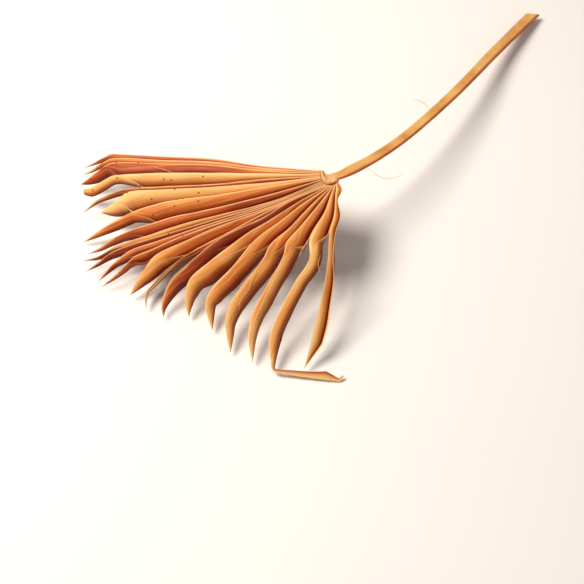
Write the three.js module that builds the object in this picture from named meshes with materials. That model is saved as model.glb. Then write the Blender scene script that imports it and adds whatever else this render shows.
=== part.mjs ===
import * as THREE from "three";

// Dried and dyed fan palm frond lying on its side, all sizes in mm, +Z up.
// The blade is laid out in its own frame: x out from the hub, y across the fan and z towards the
// face of the leaf. One turn at the end stands that frame over the floor.

const bladeTilt = 30;          // slope of the blade against the floor, degrees
const hubHeight = 75;          // hub above the floor
const sheetThickness = 0.45;   // a leaf segment's wall
const baseThickness = 0.34;    // the same wall where the pleats meet at the hub
const ridgeGap = 0.4;          // from a pleat's ridge to the wall beside it
const baseReach = 11;          // how far the fused leaf base reaches from the hastula
const wallStart = 11.8;        // where the loose segments start
const closeLength = 30;        // a split segment folds shut over this length
const steepest = 0.6;          // most a pleat leans: rise from one ridge to the next over the step

// One row a pleat ridge, from the far edge of the fan to the near one. Angles in degrees round
// the hub, distances from the hub, lifts towards the face of the leaf:
// angle and lift 75 mm out, then distance, angle and lift near the end, then those of the tip,
// then the widest half blade, where the segment splits from the next, and how far its closed
// half blades turn away from the face after the split and at the tip.
const ridges = [
  [-13.5, -20, 233, -7.5, -71, 262, -3.7, -90, 7, 232, 30, 30],
  [-10.0, -18, 234, -6.2, -66, 263, -2.1, -86, 7, 230, 30, 30],
  [-6.8, -16, 232, -5.2, -60, 264, 0.2, -80, 12, 222, 38, 38],
  [-4.0, -13, 226, -1.9, -47, 256, 2.8, -66, 11, 205, 5, 5],
  [-2.6, -11, 230, 2.2, -46, 262, 6.6, -64, 7, 200, 65, 40],
  [0.2, -9, 211, 2.6, -36, 240, 7.3, -52, 14, 204, 0, 0],
  [4.3, -7, 210, 8.2, -32, 262, 13.4, -50, 12, 186, 30, 20],
  [11.4, -5, 221, 13.7, -28, 262, 16.9, -39, 12, 190, 45, 20],
  [14.8, -4, 233, 17.0, -25, 266, 19.9, -32, 12, 216, 60, 45],
  [17.2, -3, 235, 19.6, -22, 259, 23.1, -26, 12, 214, 55, 35],
  [19.3, -2, 226, 21.8, -18, 255, 24.3, -22, 12, 211, 55, 45],
  [21.3, -1, 223, 23.8, -14, 251, 25.5, -19, 11, 190, 70, 60],
  [23.2, 0.5, 214, 25.6, -10, 232, 29.1, -14, 12, 158, 27, 20],
  [25.1, 3, 200, 28.9, -6, 225, 34.1, -8, 12, 131, 78, 78],
  [27.2, 6, 178, 30.6, 0, 214, 38.6, -4, 15, 117, 30, 20],
  [31.0, 9, 168, 34.6, 3, 196, 43.2, -3, 17, 99, 22, 5],
  [36.7, 12, 152, 41.0, 8, 188, 51.2, 4, 17, 86, 25, 5],
  [44.0, 15, 138, 49.2, 13, 195, 59.3, 16, 16, 75, 25, 12],
  [53.3, 19, 138, 60.0, 19, 192, 66.3, 22, 16, 60, 22, 15],
  [69.5, 24, 160, 68.3, 26, 192, 72.2, 27, 16, 50, 25, 20],
  [89.0, 27, 136, 83.6, 27, 185, 81.9, 25, 11, 300, 20, 12],
  [93.0, 28, 140, 88.8, 28, 178, 86.0, 26, 0, 0, 0, 0],
];
const segmentCount = ridges.length - 1;

// The rim of the hub that the pleats leave from: x out, y across, z lift.
const rimPoints = [[10, -12.5, -3], [8.5, -4, -1], [3.5, 1, 0], [-3, 1.2, 1], [-6.5, -1.5, 1]];

// The broken end of one segment: it folds aside at the crease.
const creasedSegment = 20;
const creasedEnd = [[44, 190, 27], [13, 192, 26], [-12, 195, 24]];

const petiolePath = [
  [4.2, -6.8, -3.4], [-7, -8, -5.6], [-21.5, -14.5, -12.1], [-43.4, -26.9, -24.5],
  [-72.5, -47.4, -44.7], [-106.3, -76.8, -73.2], [-144.4, -113.8, -109],
  [-187.9, -159.7, -155.7], [-235.8, -207, -200.6],
];
const petioleWidths = [8, 9.4, 10.4, 10.2, 10, 10.4, 11.2, 12.2, 13];
const petioleHeights = [4.4, 5.4, 6.2, 6.2, 6.4, 6.8, 7.4, 7.8, 8];

// Loose fibres, each a line of points in the blade's frame.
const fibreRadius = 0.35;
const fibres = [
  [[-39, -15.6, -20], [-48, -9, -19], [-57, -6, -18], [-68, -8, -18], [-73, -10.4, -20]],
  [[-105, -85, -68], [-97, -90, -62], [-87, -92, -58]],
  [[73, 90, 17.5], [79, 99, 18], [82, 107, 19], [90, 118, 20], [91, 127, 19]],
  [[23, 57, 32], [28, 66, 33], [33, 75, 32]],
  [[11, 73, 32], [13.5, 82, 33], [11, 91, 32]],
  [[186, -21, -41], [170, -16.5, -37], [152, -10, -33]],
];

const leafColour = 0xd98a45;
const stalkColour = 0xe0ae68;
const rimColour = 0xe3a878;
const fibreColour = 0xe8b888;

function makeMaterial(colour, roughness) {
  return new THREE.MeshStandardMaterial({ color: colour, roughness, metalness: 0 });
}

function polar(distance, angle, lift) {
  const turn = THREE.MathUtils.degToRad(angle);
  return new THREE.Vector3(distance * Math.cos(turn), distance * Math.sin(turn), lift);
}

const rimCurve = new THREE.CatmullRomCurve3(rimPoints.map((p) => new THREE.Vector3(...p)));

// A ridge runs from the rim of the hub through three marks to its tip.
function makeRidge(index) {
  const [angleIn, liftIn, farOut, angleOut, liftOut, length, angleTip, liftTip] = ridges[index];
  const start = rimCurve.getPointAt(index / segmentCount);
  const points = [start, polar(75, angleIn, liftIn), polar(farOut, angleOut, liftOut)];
  if (index === creasedSegment - 1) {
    points.push(polar(length - 4, angleTip - 1, liftTip));
    creasedEnd.forEach((p) => points.push(new THREE.Vector3(...p)));
  } else {
    points.push(polar(length, angleTip, liftTip));
  }
  const curve = new THREE.CatmullRomCurve3(points, false, "centripetal");
  curve.arcLengthDivisions = 400;
  return { curve, length: curve.getLength() };
}

const ridgeLines = ridges.map((row, index) => makeRidge(index));

function smooth(value) {
  const t = THREE.MathUtils.clamp(value, 0, 1);
  return t * t * (3 - 2 * t);
}

function mix(a, b, t) {
  return a + (b - a) * t;
}

// Where the next ridge passes the plane across this one.
function crossing(line, point, tangent, distance) {
  let best = null;
  let bestMiss = Infinity;
  for (let step = -24; step <= 24; step += 1) {
    const along = THREE.MathUtils.clamp((distance + step) / line.length, 0, 1);
    const candidate = line.curve.getPointAt(along);
    const miss = Math.abs(candidate.clone().sub(point).dot(tangent));
    if (miss < bestMiss) {
      bestMiss = miss;
      best = candidate;
    }
  }
  return best;
}

function halfWidth(index, distance, length, spacing) {
  const widest = ridges[index][8];
  const rise = Math.min(1, distance / 95) ** 0.75;
  const late = THREE.MathUtils.clamp((distance / length - 0.66) / 0.34, 0, 1);
  const taper = (1 - late ** 2.4) ** 0.85;
  const open = distance < ridges[index][9] ? spacing * 0.56 : 0;
  return Math.max(widest * rise * taper, open * Math.min(1, taper + 0.3), 0.9);
}

// The crease pinches the broken segment, and its folded end opens again.
function creaseWidth(width, distance, length) {
  const crease = length - 80;
  const near = Math.abs(distance - crease) / 12;
  const pinched = Math.min(width, 3 + 5 * near);
  return distance > crease ? Math.min(4.5, 2 + 3 * near, 0.9 + (length - distance) / 3) : pinched;
}

// One cross section of a segment: two half blades meeting in a fold.
function veeSection(index, along) {
  const line = ridgeLines[index];
  const row = ridges[index];
  const distance = along * line.length;
  const point = line.curve.getPointAt(along);
  const tangent = line.curve.getTangentAt(along);
  const faceAxis = new THREE.Vector3(0, 0, 1).addScaledVector(tangent, -tangent.z).normalize();
  const across = new THREE.Vector3().crossVectors(faceAxis, tangent).normalize();
  const next = crossing(ridgeLines[index + 1], point, tangent, distance).sub(point);
  const stepAcross = Math.max(next.dot(across) - 2 * ridgeGap, 0.5);
  const stepUp = THREE.MathUtils.clamp(next.dot(faceAxis), -steepest * stepAcross, steepest * stepAcross);
  const span = Math.hypot(stepAcross, stepUp);
  let width = halfWidth(index, distance, line.length, span);
  if (index === creasedSegment - 1) {
    width = creaseWidth(width, distance, line.length);
  }
  const halfOpen = Math.asin(Math.min(0.97, span / 2 / width));
  const lean = Math.atan2(stepUp, stepAcross);
  const foldedTurn = Math.PI / 2 - halfOpen - lean;
  const shut = smooth((distance - row[9] + 4) / closeLength);
  const later = smooth((distance - row[9]) / Math.max(line.length - row[9], 1));
  const closedTurn = THREE.MathUtils.degToRad(mix(row[10], row[11], later));
  const turn = mix(foldedTurn, closedTurn, shut);
  const wall = mix(baseThickness, sheetThickness, Math.min(1, distance / 60));
  const leastOpen = 2 * Math.asin(Math.min(0.62, (wall + 0.12) / width));
  const open = Math.max(mix(2 * halfOpen, THREE.MathUtils.degToRad(10), shut), leastOpen);
  return { point, across, faceAxis, width, turn, open, wall };
}

// Puts a point of the section on the inner or the outer side of the wall.
function sectionPoint(section, place, side) {
  const { width, turn, open, wall } = section;
  const leftNormal = [Math.sin(turn), Math.cos(turn)];
  const rightNormal = [-Math.sin(turn + open), -Math.cos(turn + open)];
  const fold = [ridgeGap + width * Math.cos(turn), -width * Math.sin(turn)];
  const bow = 0.07 * width;
  let spot;
  if (place < 2) {
    const inward = place === 1 ? -bow : 0;
    const reach = 1 - place / 2;
    spot = [
      fold[0] - reach * width * Math.cos(turn) + (inward + side * wall / 2) * leftNormal[0],
      fold[1] + reach * width * Math.sin(turn) + (inward + side * wall / 2) * leftNormal[1],
    ];
  } else if (place > 2) {
    const inward = place === 3 ? -bow : 0;
    const reach = (place - 2) / 2;
    spot = [
      fold[0] - reach * width * Math.cos(turn + open) + (inward + side * wall / 2) * rightNormal[0],
      fold[1] + reach * width * Math.sin(turn + open) + (inward + side * wall / 2) * rightNormal[1],
    ];
  } else {
    const spread = 2 * Math.sin(open / 2);
    const reach = side > 0 ? wall / 2 / Math.sin(open / 2) : -wall * 0.6;
    spot = [
      fold[0] + reach * (leftNormal[0] + rightNormal[0]) / spread,
      fold[1] + reach * (leftNormal[1] + rightNormal[1]) / spread,
    ];
  }
  return section.point.clone()
    .addScaledVector(section.across, spot[0])
    .addScaledVector(section.faceAxis, spot[1]);
}

// A box with many steps along it, each corner moved onto the folded sheet.
function segmentGeometry(index) {
  const steps = index === creasedSegment - 1 ? 26 : 18;
  const box = new THREE.BoxGeometry(1, 1, 1, steps, 4, 1);
  const first = wallStart / ridgeLines[index].length;
  const sections = [];
  for (let step = 0; step <= steps; step += 1) {
    sections.push(veeSection(index, mix(first, 1, step / steps)));
  }
  const position = box.attributes.position;
  for (let i = 0; i < position.count; i += 1) {
    const step = Math.round((position.getX(i) + 0.5) * steps);
    const place = Math.round((position.getY(i) + 0.5) * 4);
    const moved = sectionPoint(sections[step], place, position.getZ(i) > 0 ? 1 : -1);
    position.setXYZ(i, moved.x, moved.y, moved.z);
  }
  return box;
}

// The fused start of the pleats, a low corrugated collar round the rim.
function leafBaseGeometry() {
  const columns = segmentCount * 2;
  const box = new THREE.BoxGeometry(1, 1, 1, 2, columns, 1);
  const position = box.attributes.position;
  for (let i = 0; i < position.count; i += 1) {
    const column = Math.round((position.getY(i) + 0.5) * columns);
    const distance = mix(1.2, baseReach, position.getX(i) + 0.5);
    const index = column / 2;
    const low = ridgeLines[Math.floor(index)];
    const high = ridgeLines[Math.min(Math.ceil(index), segmentCount)];
    const spot = low.curve.getPointAt(distance / low.length)
      .lerp(high.curve.getPointAt(distance / high.length), 0.5);
    const depth = column % 2 === 0 ? 0 : 0.35 + distance * 0.05;
    spot.z -= position.getZ(i) > 0 ? depth : 2.2 + distance * 0.12;
    position.setXYZ(i, spot.x, spot.y, spot.z);
  }
  return box;
}

// The curled lip at the end of the stalk, standing on the inner side of the rim.
function hastulaGeometry() {
  const steps = 18;
  const box = new THREE.BoxGeometry(1, 1, 1, steps, 3, 1);
  const position = box.attributes.position;
  for (let i = 0; i < position.count; i += 1) {
    const along = position.getX(i) + 0.5;
    const up = position.getY(i) + 0.5;
    const point = rimCurve.getPointAt(mix(0.02, 0.98, along));
    const tangent = rimCurve.getTangentAt(mix(0.02, 0.98, along));
    const inward = new THREE.Vector3(-tangent.y, tangent.x, 0).normalize();
    const lean = 0.3 + 1.1 * up * up;
    const thick = position.getZ(i) > 0 ? 0 : 0.7;
    point.addScaledVector(inward, lean + thick);
    point.z += mix(-2.2, 2.8 * Math.sin(Math.PI * mix(0.15, 0.85, along)), up);
    position.setXYZ(i, point.x, point.y, point.z);
  }
  return box;
}

function interpolate(values, along) {
  const place = along * (values.length - 1);
  const index = Math.min(Math.floor(place), values.length - 2);
  return mix(values[index], values[index + 1], smooth(place - index));
}

// The leaf stalk: flat to slightly hollow on its face, keeled underneath.
function petioleGeometry() {
  const path = new THREE.CatmullRomCurve3(petiolePath.map((p) => new THREE.Vector3(...p)));
  const cylinder = new THREE.CylinderGeometry(1, 1, 1, 14, 30);
  const position = cylinder.attributes.position;
  for (let i = 0; i < position.count; i += 1) {
    const along = 0.5 - position.getY(i);
    const point = path.getPoint(along);
    const tangent = path.getTangent(along);
    const up = new THREE.Vector3(0, 0, 1).addScaledVector(tangent, -tangent.z).normalize();
    const side = new THREE.Vector3().crossVectors(up, tangent).normalize();
    const across = position.getX(i);
    const high = position.getZ(i);
    const hollow = high > 0 ? 0.45 + 0.2 * across * across : 1;
    point.addScaledVector(side, across * interpolate(petioleWidths, along) / 2);
    point.addScaledVector(up, high * hollow * interpolate(petioleHeights, along) / 2);
    position.setXYZ(i, point.x, point.y, point.z);
  }
  return cylinder;
}

// A loose plant fibre.
function fibreGeometry(points, radius) {
  const path = new THREE.CatmullRomCurve3(points.map((p) => new THREE.Vector3(...p)));
  const cylinder = new THREE.CylinderGeometry(1, 1, 1, 5, 10);
  const position = cylinder.attributes.position;
  for (let i = 0; i < position.count; i += 1) {
    const along = 0.5 - position.getY(i);
    const point = path.getPointAt(along);
    const tangent = path.getTangentAt(along);
    const up = new THREE.Vector3(0, 0, 1).addScaledVector(tangent, -tangent.z).normalize();
    const side = new THREE.Vector3().crossVectors(up, tangent).normalize();
    point.addScaledVector(side, position.getX(i) * radius);
    point.addScaledVector(up, position.getZ(i) * radius);
    position.setXYZ(i, point.x, point.y, point.z);
  }
  return cylinder;
}

const group = new THREE.Group();

function addPart(name, geometry, material) {
  const mesh = new THREE.Mesh(geometry, material);
  mesh.name = name;
  group.add(mesh);
}

for (let index = 0; index < segmentCount; index += 1) {
  const name = `segment_${String(index + 1).padStart(2, "0")}`;
  addPart(name, segmentGeometry(index), makeMaterial(leafColour, 0.7));
}
addPart("leaf_base", leafBaseGeometry(), makeMaterial(leafColour, 0.75));
addPart("hastula", hastulaGeometry(), makeMaterial(rimColour, 0.7));
addPart("petiole", petioleGeometry(), makeMaterial(stalkColour, 0.6));
fibres.forEach((points, index) => {
  addPart(`fibre_${index + 1}`, fibreGeometry(points, fibreRadius), makeMaterial(fibreColour, 0.8));
});

// Stands the blade's frame over the floor, then puts the origin under the middle of it all.
const tilt = THREE.MathUtils.degToRad(bladeTilt);
const stand = new THREE.Matrix4().makeBasis(
  new THREE.Vector3(-1, 0, 0),
  new THREE.Vector3(0, -Math.cos(tilt), -Math.sin(tilt)),
  new THREE.Vector3(0, -Math.sin(tilt), Math.cos(tilt)),
);
stand.setPosition(0, 0, hubHeight);
const bounds = new THREE.Box3();
group.children.forEach((mesh) => {
  mesh.geometry.applyMatrix4(stand);
  mesh.geometry.computeBoundingBox();
  bounds.union(mesh.geometry.boundingBox);
});
const middle = bounds.getCenter(new THREE.Vector3());
group.children.forEach((mesh) => {
  mesh.geometry.translate(-middle.x, -middle.y, -bounds.min.z);
  mesh.geometry.computeVertexNormals();
});

export default group;
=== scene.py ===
import bpy
import math
from bisect import bisect_right
from mathutils import Matrix, Vector, noise


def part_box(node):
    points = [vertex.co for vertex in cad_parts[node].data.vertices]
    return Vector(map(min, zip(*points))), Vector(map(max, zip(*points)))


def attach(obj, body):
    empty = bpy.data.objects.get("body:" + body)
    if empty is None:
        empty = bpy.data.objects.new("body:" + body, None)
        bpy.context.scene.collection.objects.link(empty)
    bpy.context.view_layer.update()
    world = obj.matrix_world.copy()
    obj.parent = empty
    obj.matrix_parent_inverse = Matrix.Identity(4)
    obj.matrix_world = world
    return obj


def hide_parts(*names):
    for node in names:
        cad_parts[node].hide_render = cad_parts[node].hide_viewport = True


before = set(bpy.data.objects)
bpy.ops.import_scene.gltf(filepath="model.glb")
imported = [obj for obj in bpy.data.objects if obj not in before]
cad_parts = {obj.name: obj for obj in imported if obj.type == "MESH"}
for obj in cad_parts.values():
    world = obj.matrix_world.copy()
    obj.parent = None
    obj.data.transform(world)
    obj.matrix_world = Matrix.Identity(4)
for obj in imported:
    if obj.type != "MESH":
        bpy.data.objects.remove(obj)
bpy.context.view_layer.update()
print("frame loaded:", len(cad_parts), "nodes")

mm = 0.001

# Everything is laid out in the blade's own frame, in mm: x out from the hub, y down the fan,
# z towards the face of the leaf. One matrix stands that frame over the floor.
blade = {
    "tilt": 30,                             # slope of the blade, degrees
    "hubFromStalk": (4.7941, -4.0827, 74.5271),   # hub from the low corner of the stalk's box
}
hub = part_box("petiole")[0] + Vector(blade["hubFromStalk"]) * mm
tilt = math.radians(blade["tilt"])
stand = Matrix((
    (-mm, 0, 0, hub.x),
    (0, -math.cos(tilt) * mm, -math.sin(tilt) * mm, hub.y),
    (0, -math.sin(tilt) * mm, math.cos(tilt) * mm, hub.z),
    (0, 0, 0, 1),
))


def smooth(value):
    t = min(max(value, 0), 1)
    return t * t * (3 - 2 * t)


def mix(a, b, t):
    return a + (b - a) * t


def clamp(value, low, high):
    return min(max(value, low), high)


def wander(seed, distance, size):
    # a slow sideways drift along a blade, the same on every run
    return noise.noise(Vector((distance / size, seed * 7.31, 2.5)))


def makeLine(points, samples=500):
    points = [Vector(p) for p in points]
    points = [2 * points[0] - points[1]] + points + [2 * points[-1] - points[-2]]
    spots = []
    spans = len(points) - 3
    for i in range(1, len(points) - 2):
        a, b, c, d = points[i - 1:i + 3]
        t1 = (b - a).length ** 0.5
        t2 = t1 + (c - b).length ** 0.5
        t3 = t2 + (d - c).length ** 0.5
        steps = max(8, samples // spans)
        for step in range(steps + (i == len(points) - 3)):
            t = mix(t1, t2, step / steps)
            ab = a.lerp(b, t / t1)
            bc = b.lerp(c, (t - t1) / (t2 - t1))
            cd = c.lerp(d, (t - t2) / (t3 - t2))
            left = ab.lerp(bc, t / t2)
            right = bc.lerp(cd, (t - t1) / (t3 - t1))
            spots.append(left.lerp(right, (t - t1) / (t2 - t1)))
    reached = [0]
    for before, after in zip(spots, spots[1:]):
        reached.append(reached[-1] + (after - before).length)
    return {"spots": spots, "reached": reached, "length": reached[-1]}


def pointAt(line, distance):
    distance = clamp(distance, 0, line["length"])
    i = clamp(bisect_right(line["reached"], distance) - 1, 0, len(line["spots"]) - 2)
    low, high = line["reached"][i], line["reached"][i + 1]
    return line["spots"][i].lerp(line["spots"][i + 1], (distance - low) / max(high - low, 1e-9))


def tangentAt(line, distance, reach=1.2):
    return (pointAt(line, distance + reach) - pointAt(line, distance - reach)).normalized()


def uprightAxes(tangent):
    # towards the face of the leaf, and across the line
    up = (Vector((0, 0, 1)) - tangent * tangent.z).normalized()
    return up, up.cross(tangent).normalized()


def linear(hexColour):
    values = [int(hexColour[i:i + 2], 16) / 255 for i in (1, 3, 5)]
    return [v / 12.92 if v <= 0.04045 else ((v + 0.055) / 1.055) ** 2.4 for v in values] + [1]


def addNode(material, kind, settings=None, links=None):
    node = material.node_tree.nodes.new("ShaderNode" + kind)
    for name, value in (settings or {}).items():
        if name == "stops":
            ramp = node.color_ramp
            while len(ramp.elements) < len(value):
                ramp.elements.new(0.5)
            for element, (place, colour) in zip(ramp.elements, value):
                element.position = place
                element.color = linear(colour)
        elif isinstance(name, str) and hasattr(node, name):
            setattr(node, name, value)
        else:
            node.inputs[name].default_value = value
    for name, socket in (links or {}).items():
        material.node_tree.links.new(socket, node.inputs[name])
    return node


def startMaterial(name):
    material = bpy.data.materials.new(name)
    material.use_nodes = True
    material.node_tree.nodes.clear()
    return material


def finishMaterial(material, colour, bump, roughness, settings):
    shader = addNode(material, "BsdfPrincipled", settings, {
        "Base Color": colour, "Normal": bump, "Roughness": roughness})
    addNode(material, "OutputMaterial", {}, {"Surface": shader.outputs["BSDF"]})
    return material


def makeDyedLeaf():
    # Dried fan palm leaf, dyed orange: satin, with fine parallel veins, painted shade that darkens
    # it into the folds, and margins pale partly from their own colour and partly from a painted
    # highlight.
    material = startMaterial("dyed dried palm leaf")
    uv = addNode(material, "UVMap", {"uv_map": "leafUV"}).outputs["UV"]
    place = addNode(material, "TexCoord").outputs["Object"]
    edge = addNode(material, "Attribute", {"attribute_name": "edge"}).outputs["Fac"]
    margin = addNode(material, "Attribute", {"attribute_name": "margin"}).outputs["Fac"]
    tone = addNode(material, "Attribute", {"attribute_name": "tone"}).outputs["Fac"]
    speckled = addNode(material, "Attribute", {"attribute_name": "speckled"}).outputs["Fac"]
    # veins about 0.9 mm apart, 60 mm long before they fade
    veinPlace = addNode(material, "Mapping", {"Scale": (16, 1100, 1)}, {"Vector": uv})
    veins = addNode(material, "TexNoise", {"Scale": 1.0, "Detail": 4.0, "Roughness": 0.6},
                    {"Vector": veinPlace.outputs["Vector"]})
    # broader streaks, 4 mm
    streakPlace = addNode(material, "Mapping", {"Scale": (9, 260, 1)}, {"Vector": uv})
    streaks = addNode(material, "TexNoise", {"Scale": 1.0, "Detail": 3.0, "Roughness": 0.5},
                      {"Vector": streakPlace.outputs["Vector"]})
    # clouds of stronger and weaker dye, 40 mm
    clouds = addNode(material, "TexNoise", {"Scale": 24.0, "Detail": 2.0}, {"Vector": place})
    blotch = addNode(material, "Math", {"operation": "MULTIPLY_ADD", 1: 0.5},
                     {0: clouds.outputs["Fac"], 2: tone})
    streaked = addNode(material, "Math", {"operation": "MULTIPLY_ADD", 1: 0.9},
                       {0: streaks.outputs["Fac"], 2: blotch.outputs[0]})
    veined = addNode(material, "Math", {"operation": "MULTIPLY_ADD", 1: 1.0},
                     {0: veins.outputs["Fac"], 2: streaked.outputs[0]})
    spread = addNode(material, "MapRange", {"From Min": 0.9, "From Max": 1.95},
                     {"Value": veined.outputs[0]})
    body = addNode(material, "ValToRGB", {"stops": [
        (0.0, "#F2CB86"), (0.25, "#E9B066"), (0.5, "#DA8D48"), (0.75, "#C26632"),
        (1.0, "#973C22")]},
        {"Fac": spread.outputs["Result"]})
    # painted shade deepening into the fold, read from the edge attribute: margin 0, fold 1
    depth = addNode(material, "ValToRGB", {"stops": [
        (0.0, "#FFFFFF"), (0.3, "#F4DECC"), (0.7, "#B87864"), (1.0, "#5A221A")]},
        {"Fac": edge})
    shaded = addNode(material, "Mix", {"data_type": "RGBA", "blend_type": "MULTIPLY", 0: 1.0},
                     {6: body.outputs["Color"], 7: depth.outputs["Color"]})
    # pale margin: partly the paler colour of the cut edge itself, partly a painted highlight where
    # it catches the light
    paleMarginHighlightMask = addNode(material, "MapRange", {"From Min": 0.1, "From Max": 1.3,
                         "To Min": 0.8, "To Max": 0.0}, {"Value": margin})
    paleMarginHighlighted = addNode(material, "Mix", {"data_type": "RGBA", 7: linear("#F4C488")},
                       {0: paleMarginHighlightMask.outputs["Result"], 6: shaded.outputs[2]})
    # brown specks about 2 mm across
    dots = addNode(material, "TexVoronoi", {"voronoi_dimensions": "2D", "Scale": 120.0},
                   {"Vector": uv})
    dotMask = addNode(material, "MapRange", {"From Min": 0.08, "From Max": 0.15, "To Min": 1.0,
                      "To Max": 0.0}, {"Value": dots.outputs["Distance"]})
    rare = addNode(material, "SeparateColor", {}, {"Color": dots.outputs["Color"]})
    chosen = addNode(material, "Math", {"operation": "LESS_THAN"},
                     {0: rare.outputs[0], 1: speckled})
    specks = addNode(material, "Math", {"operation": "MULTIPLY"},
                     {0: dotMask.outputs["Result"], 1: chosen.outputs[0]})
    spotted = addNode(material, "Mix", {"data_type": "RGBA", 7: linear("#7E4022")},
                      {0: specks.outputs[0], 6: paleMarginHighlighted.outputs[2]})
    bump = addNode(material, "Bump", {"Strength": 0.45, "Distance": 0.0004},
                   {"Height": veined.outputs[0]})
    rough = addNode(material, "MapRange", {"To Min": 0.46, "To Max": 0.66},
                    {"Value": streaks.outputs["Fac"]})
    return finishMaterial(material, spotted.outputs[2], bump.outputs["Normal"],
                          rough.outputs["Result"], {"IOR": 1.45, "Specular IOR Level": 0.28})


def makeStalkMaterial():
    # Dyed palm stalk: hard shiny rind with lengthwise fibres, paler on its flat face from painted
    # light, darker on its sides and lower edge from painted shade.
    material = startMaterial("dyed palm stalk")
    uv = addNode(material, "UVMap", {"uv_map": "leafUV"}).outputs["UV"]
    place = addNode(material, "TexCoord").outputs["Object"]
    # mask for painted light and shade: 1 on the flat top face, 0 on the sides, keel and lower edge
    face = addNode(material, "Attribute", {"attribute_name": "edge"}).outputs["Fac"]
    grainPlace = addNode(material, "Mapping", {"Scale": (14, 1400, 1)}, {"Vector": uv})
    grain = addNode(material, "TexNoise", {"Scale": 1.0, "Detail": 4.0},
                    {"Vector": grainPlace.outputs["Vector"]})
    clouds = addNode(material, "TexNoise", {"Scale": 40.0, "Detail": 3.0}, {"Vector": place})
    mixed = addNode(material, "Math", {"operation": "MULTIPLY_ADD", 1: 0.5},
                    {0: grain.outputs["Fac"], 2: clouds.outputs["Fac"]})
    spread = addNode(material, "MapRange", {"From Min": 0.5, "From Max": 1.0},
                     {"Value": mixed.outputs[0]})
    # painted shade: a darker copy of the colour for the sides, keel and lower edge
    side = addNode(material, "ValToRGB", {"stops": [
        (0.0, "#C9763C"), (0.5, "#B86232"), (1.0, "#9A4724")]},
        {"Fac": spread.outputs["Result"]})
    # painted light: a paler copy of the colour for the flat top face
    litTop = addNode(material, "ValToRGB", {"stops": [
        (0.0, "#EBBE76"), (0.5, "#DFA45C"), (1.0, "#C6803F")]},
        {"Fac": spread.outputs["Result"]})
    litAndShaded = addNode(material, "Mix", {"data_type": "RGBA"},
                   {0: face, 6: side.outputs["Color"], 7: litTop.outputs["Color"]})
    bump = addNode(material, "Bump", {"Strength": 0.4, "Distance": 0.0004},
                   {"Height": grain.outputs["Fac"]})
    rough = addNode(material, "MapRange", {"To Min": 0.36, "To Max": 0.56},
                    {"Value": grain.outputs["Fac"]})
    return finishMaterial(material, litAndShaded.outputs[2], bump.outputs["Normal"],
                          rough.outputs["Result"], {"IOR": 1.5, "Specular IOR Level": 0.5})


def makeRimMaterial():
    # The torn woody lip at the end of the stalk: pale, dry and matt.
    material = startMaterial("dry leaf lip")
    place = addNode(material, "TexCoord").outputs["Object"]
    clouds = addNode(material, "TexNoise", {"Scale": 420.0, "Detail": 4.0}, {"Vector": place})
    colour = addNode(material, "ValToRGB", {"stops": [
        (0.25, "#F2C48C"), (0.6, "#E9B276"), (0.95, "#CB8950")]},
        {"Fac": clouds.outputs["Fac"]})
    bump = addNode(material, "Bump", {"Strength": 0.5, "Distance": 0.0003},
                   {"Height": clouds.outputs["Fac"]})
    rough = addNode(material, "MapRange", {"To Min": 0.55, "To Max": 0.75},
                    {"Value": clouds.outputs["Fac"]})
    return finishMaterial(material, colour.outputs["Color"], bump.outputs["Normal"],
                          rough.outputs["Result"], {"IOR": 1.45})


def makeFibreMaterial():
    # A thin strand torn off the leaf: pale straw that took less dye.
    material = startMaterial("dried plant fibre")
    place = addNode(material, "TexCoord").outputs["Object"]
    clouds = addNode(material, "TexNoise", {"Scale": 260.0, "Detail": 2.0}, {"Vector": place})
    colour = addNode(material, "ValToRGB", {"stops": [
        (0.3, "#F4C794"), (0.7, "#DE9A5C")]}, {"Fac": clouds.outputs["Fac"]})
    bump = addNode(material, "Bump", {"Strength": 0.3, "Distance": 0.0002},
                   {"Height": clouds.outputs["Fac"]})
    rough = addNode(material, "MapRange", {"To Min": 0.5, "To Max": 0.7},
                    {"Value": clouds.outputs["Fac"]})
    return finishMaterial(material, colour.outputs["Color"], bump.outputs["Normal"],
                          rough.outputs["Result"], {"IOR": 1.45})


def makeFloorMaterial():
    # Smooth pale card: no visible grain.
    material = startMaterial("pale card")
    place = addNode(material, "TexCoord").outputs["Object"]
    clouds = addNode(material, "TexNoise", {"Scale": 2.0, "Detail": 2.0}, {"Vector": place})
    colour = addNode(material, "ValToRGB", {"stops": [
        (0.3, "#F4F2F0"), (0.7, "#F1EFEC")]}, {"Fac": clouds.outputs["Fac"]})
    bump = addNode(material, "Bump", {"Strength": 0.02, "Distance": 0.0002},
                   {"Height": clouds.outputs["Fac"]})
    rough = addNode(material, "MapRange", {"To Min": 0.8, "To Max": 0.9},
                    {"Value": clouds.outputs["Fac"]})
    return finishMaterial(material, colour.outputs["Color"], bump.outputs["Normal"],
                          rough.outputs["Result"], {"IOR": 1.45, "Specular IOR Level": 0.2})


leafMaterial = makeDyedLeaf()
stalkMaterial = makeStalkMaterial()
rimMaterial = makeRimMaterial()
fibreMaterial = makeFibreMaterial()
print("materials made")


def deselectAll():
    bpy.ops.object.select_all(action="DESELECT")


def addGrid(name, rows, columns):
    deselectAll()
    bpy.ops.mesh.primitive_grid_add(x_subdivisions=rows, y_subdivisions=columns, size=1)
    piece = bpy.context.object
    piece.name = name
    piece.data.name = name
    return piece


def addNumbers(mesh, names):
    # one number a vertex under each name, for the materials
    for name in names:
        mesh.attributes.new(name, "FLOAT", "POINT")
    return [mesh.attributes[name].data for name in names]


def layOut(mesh, places):
    # texture places in metres, from places in mm
    layer = mesh.uv_layers[0]
    layer.name = "leafUV"
    for loop in mesh.loops:
        along, sideways = places[loop.vertex_index]
        layer.data[loop.index].uv = (along * mm, sideways * mm)


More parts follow.
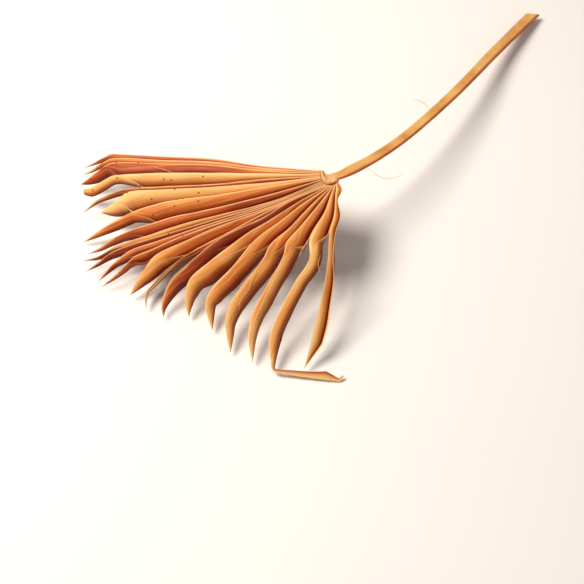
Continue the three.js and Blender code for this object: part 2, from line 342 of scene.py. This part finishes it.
def addWall(piece, thickness, offset):
    solidify = piece.modifiers.new("wall", "SOLIDIFY")
    solidify.thickness = thickness * mm
    solidify.offset = offset
    return solidify


def finishPiece(piece, material, nodes, angle=40):
    deselectAll()
    piece.select_set(True)
    bpy.context.view_layer.objects.active = piece
    for modifier in list(piece.modifiers):
        bpy.ops.object.modifier_apply(modifier=modifier.name)
    bpy.ops.object.shade_smooth_by_angle(angle=math.radians(angle))
    piece.data.materials.clear()
    piece.data.materials.append(material)
    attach(piece, "root")
    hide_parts(*nodes)


# Each ridge is a line of marks in mm, from the far edge of the fan to the near one. A segment
# hangs between its own ridge and the next. Most marks were printed by a separate program, and
# some near the hub were then changed.
ridgeMarks = [
    [[73.5, -19.5, -20.5], [119, -27.5, -35], [176, -32, -53.5], [217, -35.5, -67],
     [229.5, -36, -70.5], [237.5, -33, -75.5], [251, -27.5, -84], [260.5, -23, -89.5]],
    [[73.5, -17, -18], [119, -24, -32], [175.5, -27.5, -49], [216.5, -31, -61.5],
     [228.5, -30.5, -65], [241, -25.5, -72], [250.5, -20, -78], [261, -15.5, -85]],
    [[73.5, -14.5, -16], [118.5, -20.5, -28.5], [175.5, -23.5, -44.5], [218, -26, -56.5],
     [229, -25, -59.5], [242.5, -18, -67], [254, -10.5, -74], [262.5, -5, -79]],
    [[69.5, -10.5, -12], [118.5, -12, -23], [174.5, -13, -35.5], [214.5, -12, -44.5],
     [224.5, -11, -46.5], [235, -6.5, -53], [248, -0.5, -61], [257, 1, -66]],
    [[69, -4.5, -10], [118, -0.5, -20.5], [174, 1, -33.5], [214, 3.5, -42.5],
     [227, 8, -45.5], [240.5, 13, -52], [258, 26.5, -62.5]],
    [[69, -0.5, -8.5], [118, 2.5, -17.5], [173.5, 4.5, -28.5], [202, 5.5, -34],
     [209.5, 7.5, -35.5], [224.5, 18, -44], [237, 26.5, -51]],
    [[66, 3.5, -6], [118, 11.5, -15], [147.5, 14.5, -20.5], [173.5, 18.5, -25.5],
     [202.5, 27.5, -31], [228.5, 40, -39.5], [242.5, 48.5, -45], [255.5, 57.5, -50]],
    [[61, 11, -4], [117.5, 24.5, -12], [162.5, 33.5, -19.5], [176, 37.5, -21.5],
     [204, 46, -26], [225, 56, -31], [236, 63.5, -34], [248.5, 69.5, -38]],
    [[56, 17, -3], [117.5, 32.5, -10], [152, 41, -15], [183, 51, -19.5],
     [203.5, 57, -22], [222, 64, -25], [235, 71.5, -27.5], [253, 77, -31.5]],
    [[58, 19, -2.5], [117.5, 36, -8.5], [152, 46, -13], [182.5, 55, -16.5],
     [203.5, 61, -19.5], [222, 68.5, -21.5], [236.5, 78.5, -24.5], [249, 88, -26]],
    [[60, 21.3, -1.5], [117.5, 39, -7], [152, 50, -11], [182.5, 60, -14.5],
     [202, 66.5, -16.5], [218.5, 78.5, -19], [230, 90.5, -21], [236.5, 99, -22]],
    [[61, 23.5, -1], [117.5, 41.5, -5.5], [151.5, 53.5, -8.5], [182, 66.5, -11.5],
     [199.5, 74, -13], [210, 84.5, -14.5], [225.5, 98, -18], [232, 103.5, -19]],
    [[63, 25.8, 0.5], [117, 45, -3.5], [146.5, 58, -5.5], [177, 72.5, -8.5],
     [187, 85, -9.5], [194, 94.5, -10.5], [198.5, 103, -12], [202.5, 112, -14]],
    [[62, 27.8, 2.5], [103, 49.5, 0], [141, 69.5, -3], [161.5, 84, -4.5],
     [179.5, 102, -6.5], [185, 108.5, -7], [186.5, 117, -7.5], [186, 125.5, -8]],
    [[41, 18, 4], [69, 35.5, 6], [91, 45, 4.5], [115, 58, 3], [141, 79, 1],
     [159, 95, -1], [167, 110, -2.5], [170, 125, -3.5], [168, 134.5, -4]],
    [[31, 18, 5], [61, 37.5, 8.5], [81, 49, 7.5], [99, 61.5, 6.5], [120.5, 78, 4.5],
     [141, 96, 2.5], [146, 112, -0.5], [145, 125, -2], [142.5, 134, -3]],
    [[31, 23, 6.5], [51, 39, 10.5], [66, 49.5, 11.5], [79.5, 61, 10.5], [97.5, 83, 9],
     [118.5, 105, 7.5], [125.5, 120, 5.5], [123.5, 133, 4.5], [118.5, 147, 4]],
    [[21, 23.5, 7], [41, 45, 12.5], [60.5, 62, 14.5], [68.5, 77.5, 14], [87.5, 101, 13],
     [101.5, 123, 14], [105, 138.5, 15], [103.5, 153.5, 15.5], [100, 169, 16]],
    [[11, 20, 6.5], [31, 44.5, 14], [44.5, 60, 19], [48, 74.5, 19], [62.5, 100, 19],
     [78.5, 131.5, 20], [82, 150.5, 21], [80.5, 166, 21.5], [78, 178, 22]],
    [[0, 11.5, 4.5], [6, 29, 10], [21.5, 56.5, 19.5], [22, 76.5, 24], [36, 99, 24.5],
     [52, 129.5, 25.5], [60.5, 150, 26], [61.5, 163, 26.5], [60, 176, 27], [59, 184, 27],
     [57, 187, 27], [41, 190.5, 26.5], [21.5, 193.5, 26.5], [2, 196, 26.5],
     [-8.5, 196.5, 26.5], [-12, 191.5, 27]],
    [[-4.5, 12.5, 5.5], [-3, 32.5, 12.5], [2, 51, 18.5], [3.5, 72.5, 26], [7.5, 102, 27],
     [16.5, 141.5, 26.5], [27, 184, 25]],
    [[-10.5, 6.5, 5.5], [-6.5, 17.5, 8], [-9, 33, 13.5], [-4, 50, 19], [-1, 74.5, 28],
     [-2, 97, 28], [1, 120, 28], [4, 141.5, 28], [10, 163.5, 27]],
]

# Widest half blade, where the segment splits from the next, over what length it folds shut, how
# far its closed halves turn away from the face there and at the tip, where along its length it
# starts to narrow, how near the fold hangs to the next ridge, how far the closed halves gape at
# the tip, and how dark it is coloured.
segmentRows = [
    [7, 228, 15, 30, 30, 0.80, 0.85, 10, 0.50],
    [7, 226, 15, 30, 30, 0.80, 0.85, 10, 0.30],
    [13, 214, 20, 14, 10, 0.88, 0.90, 10, 0.62],
    [10, 186, 25, 8, 4, 0.97, 0.95, 8, -0.20],
    [8, 195, 25, 50, 30, 0.72, 0.60, 14, 0.50],
    [21, 206, 12, 0, 0, 0.86, 0.97, 8, -0.34],
    [12, 176, 25, 15, 10, 0.74, 0.95, 10, 0.26],
    [11, 190, 25, 25, 30, 0.74, 0.88, 12, 0.50],
    [9, 210, 25, 50, 35, 0.78, 0.85, 12, 0.70],
    [10, 207, 25, 40, 25, 0.76, 0.85, 12, 0.95],
    [10, 206, 25, 30, 20, 0.72, 0.85, 12, 0.55],
    [10, 190, 30, 45, 25, 0.72, 0.85, 12, 0.60],
    [17, 157, 44, 15, 8, 0.80, 0.92, 8, 0.34],
    [12, 131, 36, 78, 84, 0.80, 0.88, 10, 0.55],
    [20, 117, 40, 30, 22, 0.68, 0.90, 10, 0.85],
    [21, 100, 40, 22, 8, 0.68, 0.90, 9, 0.20],
    [18, 86, 40, 18, 5, 0.68, 0.88, 9, 0.26],
    [17, 74, 38, 18, 12, 0.64, 0.85, 30, 0.20],
    [14.5, 60, 34, 18, 14, 0.62, 0.78, 44, 0.16],
    [13.5, 49, 34, 15, 10, 0.92, 0.82, 8, -0.04],
    [12, 400, 30, 20, 20, 0.86, 0.85, 8, -0.06],
]

leaf = {
    "rim": [[10, -12.5, -3], [8.5, -4, -1], [3.5, 1, 0], [-3, 1.2, 1], [-6.5, -1.5, 1]],
    "start": 1.2,           # first station, from the rim of the hub
    "stations": 96,
    "columns": 24,
    "thickness": 0.40,
    "bow": 0.16,            # how round a half blade is, part of its width
    "growth": 95,           # a pleat reaches its full depth this far out
    "deepest": 1.9,         # pleat depth against its spacing
    "creased": 20,          # the segment with a broken end
    "creaseAt": [59, 185.5, 27],
    "creaseWidths": [[-30, 13], [-20, 10], [-8, 5.5], [0, 3.2], [18, 5], [40, 7], [54, 9],
                     [66, 4], [76, 1.8], [90, 1]],
    "torn": 4,              # the segment with a blunt torn end
    "speckled": {3: 0.16, 4: 0.18, 6: 0.42, 7: 0.32, 10: 0.16, 11: 0.22, 12: 0.35},
    "ridgeHighlightWidth": {9: 3.4, 20: 2.6, 4: 1.6},   # painted highlight along widely rounded ridges, its width in mm
    "search": 24,           # how far along the next ridge its crossing is looked for
    "shutEasing": 1.15,     # how the folding slows down as a pleat shuts
    "leastStep": 0.25,      # the next ridge is never nearer than this
    "steepest": 0.8,        # rise to the next ridge against the step across
    "leastDepth": 1.22,     # shortest half pleat against its share of the span
    "taper": (2.1, 0.9),    # how a segment narrows to its tip
    "tornTaper": 0.3,       # what the torn segment loses in width by its end
    "widthDrift": (0.04, 12),   # a share of the width, and over how many mm it changes
    "leastWidth": 0.45,
    "turnDrift": (4, 40),   # degrees, and over how many mm they change
    "firstOpening": 8,      # degrees between the closed halves at the split
    "openingDrift": (2, 30),
    "leastOpening": (0.6, 0.3),   # keeps the two closed halves apart
    "bends": (0.2, -1),     # how the right half bows, open and shut
    "foldRadius": 1.1,
    "foldSoftness": 0.35,
    "creaseStations": 60,   # more stations for the segment that folds aside
    "ripple": {"height": 0.30, "fullWidth": 8, "length": 18, "across": 1.8, "seed": 3.7},
    "joined": {"before": 14, "fadeIn": 10, "fadeOut": 12, "margin": 1.6},
    "palerTips": {"after": 12, "near": 20, "far": 0.34, "close": 0.62, "from": 0.6, "over": 0.4},
    "palerHub": {"before": 7, "by": 0.35, "reach": 90, "over": 70},
    # how much the painted ridge highlight lightens, how soft its side is, and where along the
    # segment it comes in
    "ridgeHighlight": {"by": 0.55, "edge": 1.2, "from": 40, "over": 40},
    "palerCrease": {"by": 0.40, "over": 8},
    "speckStart": 90,
    "speckFade": 60,
    "uvStep": (40, 31),     # moves each segment to another part of the texture
    "thinReach": 70,        # the wall has its full thickness this far out
    "thinnest": 0.15,       # share of the thickness left at the hub
}
segmentCount = len(segmentRows)
rimLine = makeLine(leaf["rim"])


def makeRidge(index):
    start = pointAt(rimLine, rimLine["length"] * index / segmentCount)
    return makeLine([start] + ridgeMarks[index], 700)


ridgeLines = [makeRidge(index) for index in range(segmentCount + 1)]


def nearestDistance(line, mark):
    mark = Vector(mark)
    best = min(range(len(line["spots"])), key=lambda i: (line["spots"][i] - mark).length)
    return line["reached"][best]


creaseDistance = nearestDistance(ridgeLines[leaf["creased"] - 1], leaf["creaseAt"])


def crossing(line, point, tangent, distance):
    # where the next ridge passes the plane across this one
    best = None
    last = None
    reach = leaf["search"]
    for step in range(-reach, reach + 1):
        spot = pointAt(line, distance + step)
        miss = (spot - point).dot(tangent)
        if last and last[1] <= 0 <= miss and miss - last[1] > 1e-6:
            found = last[0].lerp(spot, -last[1] / (miss - last[1]))
            if best is None or abs(step) < best[0]:
                best = (abs(step), found)
        last = (spot, miss)
    if best:
        return best[1]
    return min((pointAt(line, distance + step) for step in range(-reach, reach + 1)),
               key=lambda spot: abs((spot - point).dot(tangent)))


def fromTable(table, value):
    for (low, first), (high, second) in zip(table, table[1:]):
        if value <= high:
            return mix(first, second, clamp((value - low) / (high - low), 0, 1))
    return table[-1][1]


def veeSection(index, distance):
    line = ridgeLines[index]
    widest, split, closing, turnSplit, turnTip, blunt, foldAt, gape = segmentRows[index][:8]
    number = index + 1
    length = line["length"]
    point = pointAt(line, distance)
    tangent = tangentAt(line, distance)
    faceAxis, across = uprightAxes(tangent)
    shut = clamp((distance - split) / closing, 0, 1)
    shut = 1 - (1 - shut) ** leaf["shutEasing"]
    # the open pleat, hung between two ridges
    step = crossing(ridgeLines[index + 1], point, tangent, distance) - point
    stepAcross = max(step.dot(across), leaf["leastStep"])
    steepest = leaf["steepest"] * stepAcross
    stepUp = clamp(step.dot(faceAxis), -steepest, steepest)
    span = math.hypot(stepAcross, stepUp)
    depthHalf = clamp(widest * min(1, distance / leaf["growth"]),
                      leaf["leastDepth"] * foldAt * span, leaf["deepest"] * span)
    deep = math.sqrt(max(depthHalf ** 2 - (foldAt * span) ** 2, 0.01))
    foldOpen = Vector((foldAt * stepAcross + deep * stepUp / span,
                       foldAt * stepUp - deep * stepAcross / span))
    rightOpen = Vector((stepAcross, stepUp))
    # the free blade, folded shut
    along = (distance - split) / max(length - split, 1)
    late = clamp((distance / length - blunt) / (1 - blunt), 0, 1)
    narrowing, bluntness = leaf["taper"]
    width = widest * (1 - late ** narrowing) ** bluntness
    if number == leaf["torn"]:
        width = widest * (1 - leaf["tornTaper"] * late)
    if number == leaf["creased"]:
        width = min(widest, fromTable(leaf["creaseWidths"], distance - creaseDistance))
    drift, driftLength = leaf["widthDrift"]
    width *= 1 + drift * wander(index + 80, distance, driftLength)
    width = max(width, leaf["leastWidth"])
    drift, driftLength = leaf["turnDrift"]
    turn = math.radians(mix(turnSplit, turnTip, smooth(along))
                        + drift * wander(index, distance, driftLength))
    drift, driftLength = leaf["openingDrift"]
    opening = math.radians(mix(leaf["firstOpening"], gape, smooth(along))
                           + drift * wander(index + 40, distance, driftLength))
    mostSine, leastGap = leaf["leastOpening"]
    opening = max(opening, 2 * math.asin(min(mostSine, leastGap / width)))
    foldShut = Vector((math.cos(turn), -math.sin(turn))) * width
    rightShut = foldShut + Vector((-math.cos(turn + opening), math.sin(turn + opening))) * width
    fold = foldOpen.lerp(foldShut, shut)
    right = rightOpen.lerp(rightShut, shut)
    if number == segmentCount:
        fold *= 1 - late
        right *= 1 - late
    return {"point": point, "across": across, "face": faceAxis, "fold": fold, "right": right,
            "shut": shut}


def sheetSpot(section, part, ripple):
    # part runs 0 at the left margin, 1 at the fold, 2 at the right margin
    fold, right, shut = section["fold"], section["right"], section["shut"]
    if part <= 1:
        start, end, reach, bend = Vector((0, 0)), fold, part, 1
    else:
        start, end, reach, bend = fold, right, part - 1, mix(*leaf["bends"], shut)
    side = end - start
    width = max(side.length, 1e-6)
    inside = Vector((-side.y, side.x)) / width
    spot = start + side * reach
    spot += inside * (bend * leaf["bow"] * width * 4 * reach * (1 - reach) + ripple)
    # the fold is a tight curve, not a knife edge
    fromFold = abs(part - 1) * width
    soft = max(0, 1 - fromFold / leaf["foldRadius"])
    back = (-fold).normalized() + (right - fold).normalized()
    if back.length > 0.05:
        spot += back.normalized() * leaf["foldSoftness"] * soft * soft
    return section["point"] + section["across"] * spot.x + section["face"] * spot.y


def makeSegment(index):
    number = index + 1
    length = ridgeLines[index]["length"]
    stations = leaf["stations"] + (leaf["creaseStations"] if number == leaf["creased"] else 0)
    columns = leaf["columns"]
    piece = addGrid(f"leafSegment{number:02d}", stations, columns)
    mesh = piece.data
    sections = [veeSection(index, mix(leaf["start"], length, step / stations))
                for step in range(stations + 1)]
    edge, margin, tone, speckled = addNumbers(mesh, ["edge", "margin", "tone", "speckled"])
    split, closing = segmentRows[index][1:3]
    band = leaf["ridgeHighlightWidth"].get(number, 0)
    wave, joint = leaf["ripple"], leaf["joined"]
    tips, nearHub = leaf["palerTips"], leaf["palerHub"]
    ridge, crease = leaf["ridgeHighlight"], leaf["palerCrease"]
    uvAlong, uvAcross = leaf["uvStep"]
    places = []
    for vertex in mesh.vertices:
        step = round((vertex.co.x + 0.5) * stations)
        column = round((vertex.co.y + 0.5) * columns)
        part = 2 * column / columns
        section = sections[step]
        distance = mix(leaf["start"], length, step / stations)
        half = section["fold"].length if part <= 1 else (section["right"] - section["fold"]).length
        fromMargin = (1 - abs(part - 1)) * half
        ripple = wave["height"] * min(1, half / wave["fullWidth"]) * noise.noise(Vector((
            distance / wave["length"], part * wave["across"] + index * wave["seed"], index)))
        places.append((distance, (part - 1) * half))
        vertex.co = stand @ sheetSpot(section, part, ripple)
        # how deep into the fold the point lies, for the painted fold shade: margin 0, fold 1
        edge[vertex.index].value = 1 - abs(part - 1)
        # the margin's pale colour and painted highlight are left off where the pleat is still
        # joined and about to fold shut
        joined = (smooth((distance - split + joint["before"]) / joint["fadeIn"])
                  - smooth((distance - split - closing) / joint["fadeOut"]))
        margin[vertex.index].value = fromMargin + (joint["margin"] * joined if part > 1 else 0)
        shade = segmentRows[index][8]
        if number > tips["after"]:
            paler = tips["far"] if number < tips["near"] else tips["close"]
            shade -= paler * smooth((distance / length - tips["from"]) / tips["over"])
        if number < nearHub["before"]:
            shade -= nearHub["by"] * smooth((nearHub["reach"] - distance) / nearHub["over"])
        # painted highlight along the rounded ridge, near the margin of the left half
        if band and part <= 1:
            shade -= (ridge["by"] * smooth((band - fromMargin) / ridge["edge"])
                      * smooth((distance - ridge["from"]) / ridge["over"]))
        if number == leaf["creased"]:
            shade -= crease["by"] * smooth((distance - creaseDistance) / crease["over"])
        tone[vertex.index].value = shade
        speckled[vertex.index].value = leaf["speckled"].get(number, 0.0) * smooth(
            (distance - leaf["speckStart"]) / leaf["speckFade"])
    layOut(mesh, [(along + uvAlong * index, sideways + uvAcross * index)
                  for along, sideways in places])
    # the sheet is thinner towards the hub, where the pleats crowd together
    wall = piece.vertex_groups.new(name="wall")
    for corner, place in enumerate(places):
        wall.add([corner], smooth(place[0] / leaf["thinReach"]), "REPLACE")
    solidify = addWall(piece, leaf["thickness"], 0)
    solidify.vertex_group = wall.name
    solidify.thickness_vertex_group = leaf["thinnest"]
    finishPiece(piece, leafMaterial, [f"segment_{number:02d}"])
    return piece


for index in range(segmentCount):
    makeSegment(index)
print("leaf segments made:", segmentCount)


leafBase = {
    "first": 0.2,           # from the rim of the hub
    "reach": 14,
    "rows": 10,
    "columnsEach": 6,
    "depth": 2.4,
    "sunk": 0.5,            # how far it lies below the ridges at the hub
    "slope": 0.10,
    "wave": 0.25,           # it follows the pleats this much
    # how much of the painted fold shade it gets
    "edge": 0.4,
    "margin": 3,
    "tone": 0.2,
}


def makeLeafBase():
    columns = segmentCount * leafBase["columnsEach"]
    piece = addGrid("leafBase", leafBase["rows"], columns)
    edge, margin, tone = addNumbers(piece.data, ["edge", "margin", "tone"])
    places = []
    for vertex in piece.data.vertices:
        along = vertex.co.x + 0.5
        place = (vertex.co.y + 0.5) * segmentCount
        distance = mix(leafBase["first"], leafBase["reach"], along)
        low = clamp(int(place), 0, segmentCount - 1)
        spot = pointAt(ridgeLines[low], distance).lerp(
            pointAt(ridgeLines[low + 1], distance), place - low)
        spot.z -= (leafBase["sunk"] + leafBase["slope"] * distance
                   + leafBase["wave"] * math.cos(2 * math.pi * place))
        places.append((distance, place * 2))
        vertex.co = stand @ spot
        edge[vertex.index].value = leafBase["edge"]
        margin[vertex.index].value = leafBase["margin"]
        tone[vertex.index].value = leafBase["tone"]
    layOut(piece.data, places)
    addWall(piece, leafBase["depth"], -1)
    finishPiece(piece, leafMaterial, ["leaf_base"])
    return piece


lip = {
    # where the flat face of the stalk ends in a torn, curled edge
    "outer": [[8.9, -12.4, 1.2], [8.6, -10, 2.2], [7.4, -6, 2.8], [5.2, -2.6, 2.6],
              [2.6, -1, 2.2], [0, -1.1, 1.6], [-3.6, -1.8, 0.4], [-8, -3, -3.4]],
    "inner": [[8.2, -12.8, -0.8], [6.8, -10.8, -0.9], [4.6, -9, -1.2], [2.2, -8.2, -1.5],
              [0, -7.6, -1.6], [-2, -7.4, -1.9], [-5, -8, -2.8], [-10, -9, -5]],
    "skirt": 2.4,
    "overhang": 2.6,
    "crestAt": 0.8,         # share of the band below its crest
    "curl": 0.2,            # share of the band that turns down past it
    "flare": 1.4,
    "unevenness": (0.35, 7),   # height of the waves along the crest, and how many
    "thickness": 0.8,
    "steps": 60,
    "rows": 16,
}


def makeLip():
    piece = addGrid("stalkLip", lip["steps"], lip["rows"])
    outer, inner = makeLine(lip["outer"]), makeLine(lip["inner"])
    waveHeight, waveCount = lip["unevenness"]
    for vertex in piece.data.vertices:
        along = vertex.co.x + 0.5
        up = vertex.co.y + 0.5
        crest = pointAt(outer, along * outer["length"])
        foot = pointAt(inner, along * inner["length"])
        out = (crest - foot).normalized()
        climb = min(1, up / lip["crestAt"])
        spot = foot.lerp(crest, climb)
        spot.z = mix(foot.z, crest.z, climb ** lip["flare"])
        spot.z += waveHeight * climb * noise.noise(Vector((along * waveCount, 3, 1)))
        # past its crest the edge turns down on to the leaf
        past = max(0, (up - lip["crestAt"]) / lip["curl"])
        spot += Vector((out.x, out.y, 0)) * lip["overhang"] * math.sin(past * math.pi / 2)
        spot.z -= lip["skirt"] * (1 - math.cos(past * math.pi / 2))
        vertex.co = stand @ spot
    addWall(piece, lip["thickness"], 0)
    finishPiece(piece, rimMaterial, ["hastula"], 60)
    return piece


makeLeafBase()
makeLip()
print("leaf base and lip made")


stalk = {
    "path": [
        [5.5, -5.6, -2.6], [-6, -7.2, -4.4], [-21.5, -14.5, -12.1], [-43.4, -26.9, -24.5],
        [-72.5, -47.4, -44.7], [-106.3, -76.8, -73.2], [-144.4, -113.8, -109],
        [-187.9, -159.7, -155.7], [-239, -211, -203],
    ],
    "widths": [6.0, 8.8, 11, 10.6, 10.4, 10.8, 11.4, 12.4, 13.2],
    "cut": 4.6,             # how far the cut end slants, either side of square
    "cutStart": 0.93,       # the slant starts at this share of the stalk
    "cutOver": 0.07,
    "twist": 22,            # the flat face is turned this far about the stalk, degrees
    "heights": [4.4, 5.4, 6.4, 6.4, 6.4, 6.8, 7.4, 7.8, 8],
    "sides": 36,
    "rings": 150,
    "smoothing": 2.5,       # over how far the direction of the stalk is taken
    "squareness": 0.8,
    "face": (0.45, 0.6, 0.2),   # height, flatness, and how far its edges stand up
    "keel": 0.9,
    "grooves": (0.012, 60, 5),
    "bumps": (0.02, 22),
    # where the flat top face takes the painted lit colour, and where a band along the lower edge
    # takes the painted shaded one
    "litFace": (0.1, 0.5),
    "shadedEdge": (0.5, 0.2),
}


def between(values, along):
    place = along * (len(values) - 1)
    index = min(int(place), len(values) - 2)
    return mix(values[index], values[index + 1], smooth(place - index))


def markDistance(marks, along):
    place = clamp(along, 0, 1) * (len(marks) - 1)
    index = min(int(place), len(marks) - 2)
    return mix(marks[index], marks[index + 1], place - index)


def makeStalk():
    piece = addGrid("leafStalk", stalk["rings"], stalk["sides"])
    mesh = piece.data
    line = makeLine(stalk["path"], 1200)
    marks = [line["reached"][round(i * (len(line["spots"]) - 1) / (len(stalk["path"]) - 1))]
             for i in range(len(stalk["path"]))]
    (edge,) = addNumbers(mesh, ["edge"])
    lean = math.radians(stalk["twist"])
    faceHeight, faceFlatness, edgeHeight = stalk["face"]
    grooveDepth, grooveLength, grooveCount = stalk["grooves"]
    bumpHeight, bumpLength = stalk["bumps"]
    faceFrom, faceOver = stalk["litFace"]
    edgeFrom, edgeOver = stalk["shadedEdge"]
    places = []
    for vertex in mesh.vertices:
        along = vertex.co.x + 0.5
        turn = (vertex.co.y + 0.5) * 2 * math.pi - math.pi / 2
        sideways = math.copysign(abs(math.cos(turn)) ** stalk["squareness"], math.cos(turn))
        distance = markDistance(marks, along)
        cutShare = smooth((along - stalk["cutStart"]) / stalk["cutOver"])
        distance -= stalk["cut"] * (1 + sideways) * cutShare
        point = pointAt(line, distance)
        up, side = uprightAxes(tangentAt(line, distance, stalk["smoothing"]))
        up, side = (up * math.cos(lean) + side * math.sin(lean),
                    side * math.cos(lean) - up * math.sin(lean))
        # flat to slightly hollow face, rounded keel below, blunt edges
        high = math.sin(turn)
        if high > 0:
            tall = faceHeight * high ** faceFlatness + edgeHeight * sideways * sideways * high
        else:
            tall = -abs(high) ** stalk["keel"]
        groove = 1 + grooveDepth * noise.noise(
            Vector((distance / grooveLength, turn * grooveCount, 3)))
        groove += bumpHeight * noise.noise(Vector((distance / bumpLength, 9, 4)))
        width = between(stalk["widths"], along) / 2 * groove
        height = between(stalk["heights"], along) / 2 * groove
        places.append((distance, turn * width))
        vertex.co = stand @ (point + side * sideways * width + up * tall * height)
        # painted light and shade: the flat top face gets the lit colour, the sides, keel and a
        # band along the lower edge the shaded one
        edge[vertex.index].value = (smooth((high + faceFrom) / faceOver)
                                    * (1 - smooth((-sideways - edgeFrom) / edgeOver)))
    layOut(mesh, places)
    bpy.ops.object.mode_set(mode="EDIT")
    bpy.ops.mesh.select_all(action="SELECT")
    bpy.ops.mesh.remove_doubles(threshold=0.00001)
    bpy.ops.mesh.select_all(action="DESELECT")
    bpy.ops.mesh.select_mode(type="EDGE")
    bpy.ops.mesh.select_non_manifold()
    bpy.ops.mesh.edge_face_add()
    bpy.ops.mesh.select_all(action="SELECT")
    bpy.ops.mesh.normals_make_consistent(inside=False)
    bpy.ops.object.mode_set(mode="OBJECT")
    finishPiece(piece, stalkMaterial, ["petiole"], 50)
    return piece


makeStalk()
print("stalk made")


fibre = {
    "radius": 0.28,
    "thinEnd": 0.35,        # its ends, against its middle
    "sides": 8,
    "cuts": 28,
    "paths": [
        [[-38, -17, -20], [-47, -9.4, -19], [-57, -6, -18], [-68, -8, -18], [-73, -10.4, -20]],
        [[-106, -83, -68], [-97, -89.5, -62], [-87, -92, -58]],
        [[73, 90, 17.5], [79, 99, 18], [82, 107, 19], [90, 118, 20], [91, 127, 19]],
        [[23, 57, 32], [28, 66, 33], [33, 75, 32]],
        [[11, 73, 32], [13.5, 82, 33], [11, 91, 32]],
        [[186, -21, -41], [170, -16.5, -37], [152, -10, -33]],
    ],
}


def makeFibre(number, path):
    deselectAll()
    bpy.ops.mesh.primitive_cylinder_add(vertices=fibre["sides"], radius=1, depth=1,
                                        end_fill_type="TRIFAN")
    piece = bpy.context.object
    piece.name = piece.data.name = f"looseFibre{number}"
    bpy.ops.object.mode_set(mode="EDIT")
    bpy.ops.mesh.select_all(action="DESELECT")
    bpy.ops.object.mode_set(mode="OBJECT")
    for side in piece.data.edges:
        a, b = (piece.data.vertices[i].co for i in side.vertices)
        side.select = abs(a.z - b.z) > 0.5
    bpy.ops.object.mode_set(mode="EDIT")
    bpy.ops.mesh.subdivide(number_cuts=fibre["cuts"])
    bpy.ops.object.mode_set(mode="OBJECT")
    line = makeLine(path)
    for vertex in piece.data.vertices:
        along = vertex.co.z + 0.5
        distance = along * line["length"]
        point = pointAt(line, distance)
        up, side = uprightAxes(tangentAt(line, distance))
        thin = fibre["radius"] * mix(1, fibre["thinEnd"], abs(2 * along - 1) ** 2)
        vertex.co = stand @ (point + side * vertex.co.x * thin + up * vertex.co.y * thin)
    finishPiece(piece, fibreMaterial, [f"fibre_{number}"], 60)
    return piece


for number, path in enumerate(fibre["paths"], 1):
    makeFibre(number, path)
print("loose fibres made")


stage = {
    "floor": 8,
    "worldStrength": 0.27,
    "keyPlace": (-1.05, 0.15, 1.65),
    "keyAim": (-0.05, -0.1, 0.05),
    "keySize": 1.0,
    "keyPower": 48,
    "fillPlace": (1.2, -1.2, 1.4),
    "fillAim": (0, -0.1, 0.05),
    "fillSize": 1.6,
    "fillPower": 2,
}

deselectAll()
bpy.ops.mesh.primitive_plane_add(size=stage["floor"], location=(0, 0, 0))
floor = bpy.context.object
floor.name = "floor"
floor.data.materials.append(makeFloorMaterial())

world = bpy.data.worlds.new("studio")
world.use_nodes = True
world.node_tree.nodes["Background"].inputs["Color"].default_value = linear("#FFFBF6")
world.node_tree.nodes["Background"].inputs["Strength"].default_value = stage["worldStrength"]
bpy.context.scene.world = world


def addLamp(name, place, aim, size, power, colour):
    deselectAll()
    bpy.ops.object.light_add(type="AREA", location=place)
    lamp = bpy.context.object
    lamp.name = name
    lamp.rotation_euler = (Vector(aim) - Vector(place)).to_track_quat("-Z", "Y").to_euler()
    lamp.data.shape = "DISK"
    lamp.data.size = size
    lamp.data.energy = power
    lamp.data.color = linear(colour)[:3]
    return lamp


addLamp("keyLamp", stage["keyPlace"], stage["keyAim"], stage["keySize"], stage["keyPower"],
        "#FFF6EA")
addLamp("fillLamp", stage["fillPlace"], stage["fillAim"], stage["fillSize"], stage["fillPower"],
        "#F4F6FF")

view = {"elevation": 60, "distance": 1380, "right": -39, "up": -109, "lens": 85.07}
lift = math.radians(view["elevation"])
upwards = Vector((0, math.sin(lift), math.cos(lift)))
towards = Vector((0, -math.cos(lift), math.sin(lift)))
aim = hub + Vector((view["right"] * mm, 0, 0)) + upwards * view["up"] * mm
bpy.ops.object.camera_add(location=aim + towards * view["distance"] * mm)
camera = bpy.context.object
camera.rotation_euler = (-towards).to_track_quat("-Z", "Y").to_euler()
camera.data.lens = view["lens"]
camera.data.sensor_width = 36
camera.data.clip_start = 0.05
bpy.context.scene.camera = camera
bpy.context.scene.view_settings.view_transform = "Standard"
print("stage, light and camera set")
